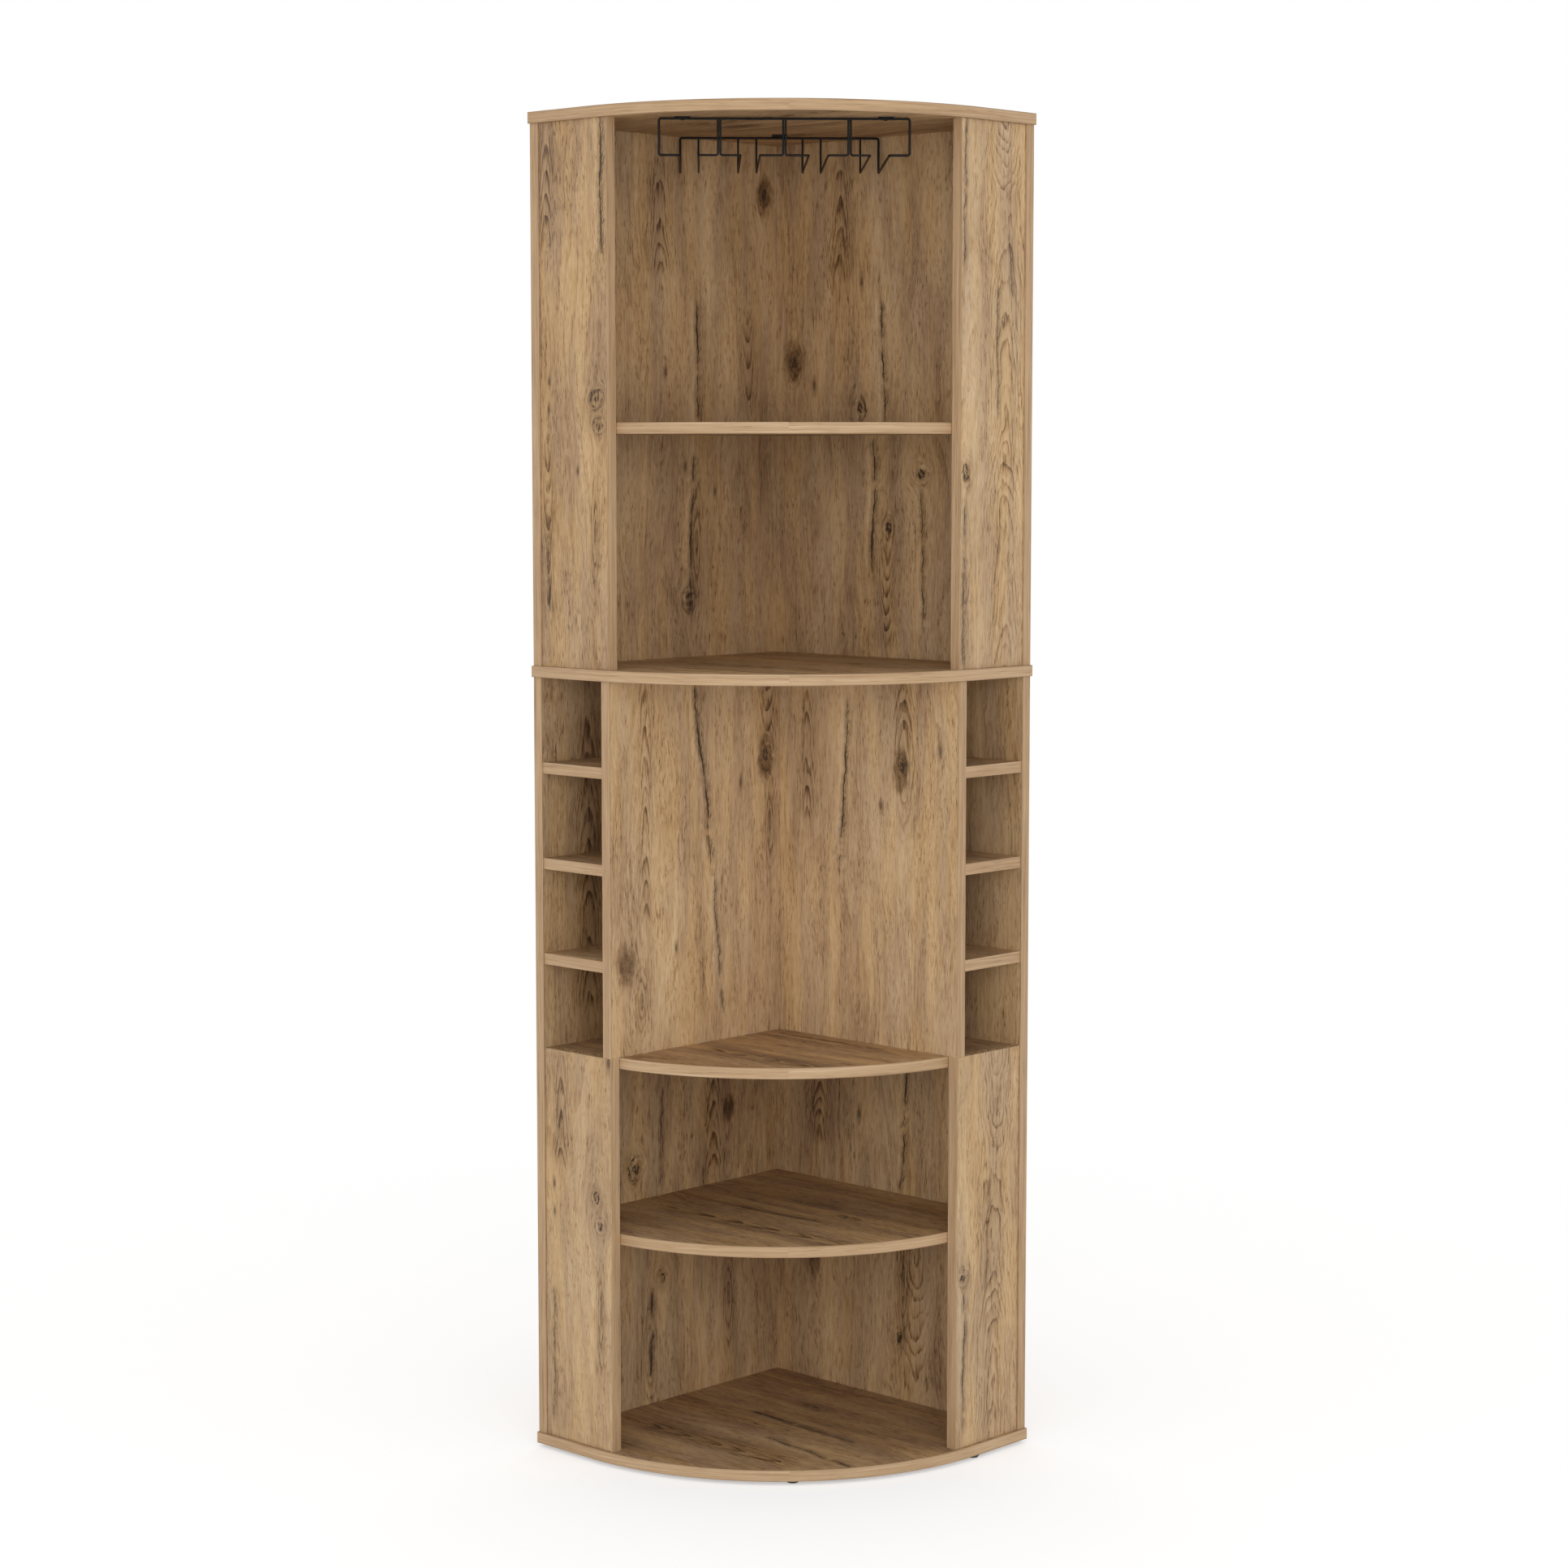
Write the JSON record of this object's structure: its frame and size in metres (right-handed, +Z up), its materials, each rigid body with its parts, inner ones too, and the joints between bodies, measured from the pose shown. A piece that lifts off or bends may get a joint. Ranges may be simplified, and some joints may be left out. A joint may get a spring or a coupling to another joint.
{
  "type": "corner bar cabinet",
  "caption": "Tall corner bar cabinet with a rounded front, open niches, side bottle cubbies and a hanging stemware rack.",
  "frame": {"origin": "on the floor, under the centre of the square that bounds the plan", "axes": "+Z up; the right wall runs along X at +Y, the left wall runs along Y at -X, and the rounded front faces +X -Y"},
  "size_m": [0.475, 0.475, 1.8],
  "materials": {
    "oak_board": "matt oak-look melamine on particle board",
    "oak_edge_band": "matt oak-look edge band",
    "zinc_steel": "zinc-plated steel",
    "beech_dowel": "plain beech",
    "black_plastic": "moulded black plastic",
    "black_powder_coat": "satin black powder coat"
  },
  "bodies": {
    "root": {"assembly_screws": "zinc_steel", "bar_shelf": "oak_board", "bar_shelf_edge_band": "oak_edge_band", "base_panel": "oak_board", "base_panel_edge_band": "oak_edge_band", "counter_panel": "oak_board", "counter_panel_edge_band": "oak_edge_band", "dowels": "beech_dowel", "glide_nails": "zinc_steel", "glides": "black_plastic", "left_cubby_edge_bands": "oak_edge_band", "left_cubby_shelf_1": "oak_board", "left_cubby_shelf_2": "oak_board", "left_cubby_shelf_3": "oak_board", "left_lower_end_panel": "oak_board", "left_lower_end_panel_edge_band": "oak_edge_band", "left_lower_wall_panel": "oak_board", "left_lower_wall_panel_edge_band": "oak_edge_band", "left_rack_divider": "oak_board", "left_rack_divider_edge_band": "oak_edge_band", "left_upper_end_panel": "oak_board", "left_upper_end_panel_edge_band": "oak_edge_band", "left_upper_wall_panel": "oak_board", "left_upper_wall_panel_edge_band": "oak_edge_band", "lower_shelf": "oak_board", "lower_shelf_edge_band": "oak_edge_band", "rack_screws": "black_powder_coat", "right_cubby_edge_bands": "oak_edge_band", "right_cubby_shelf_1": "oak_board", "right_cubby_shelf_2": "oak_board", "right_cubby_shelf_3": "oak_board", "right_lower_end_panel": "oak_board", "right_lower_end_panel_edge_band": "oak_edge_band", "right_lower_wall_panel": "oak_board", "right_lower_wall_panel_edge_band": "oak_edge_band", "right_rack_divider": "oak_board", "right_rack_divider_edge_band": "oak_edge_band", "right_upper_end_panel": "oak_board", "right_upper_end_panel_edge_band": "oak_edge_band", "right_upper_wall_panel": "oak_board", "right_upper_wall_panel_edge_band": "oak_edge_band", "stemware_rack": "black_powder_coat", "top_panel": "oak_board", "top_panel_edge_band": "oak_edge_band", "upper_shelf": "oak_board", "upper_shelf_edge_band": "oak_edge_band"}
  },
  "joints": []
}
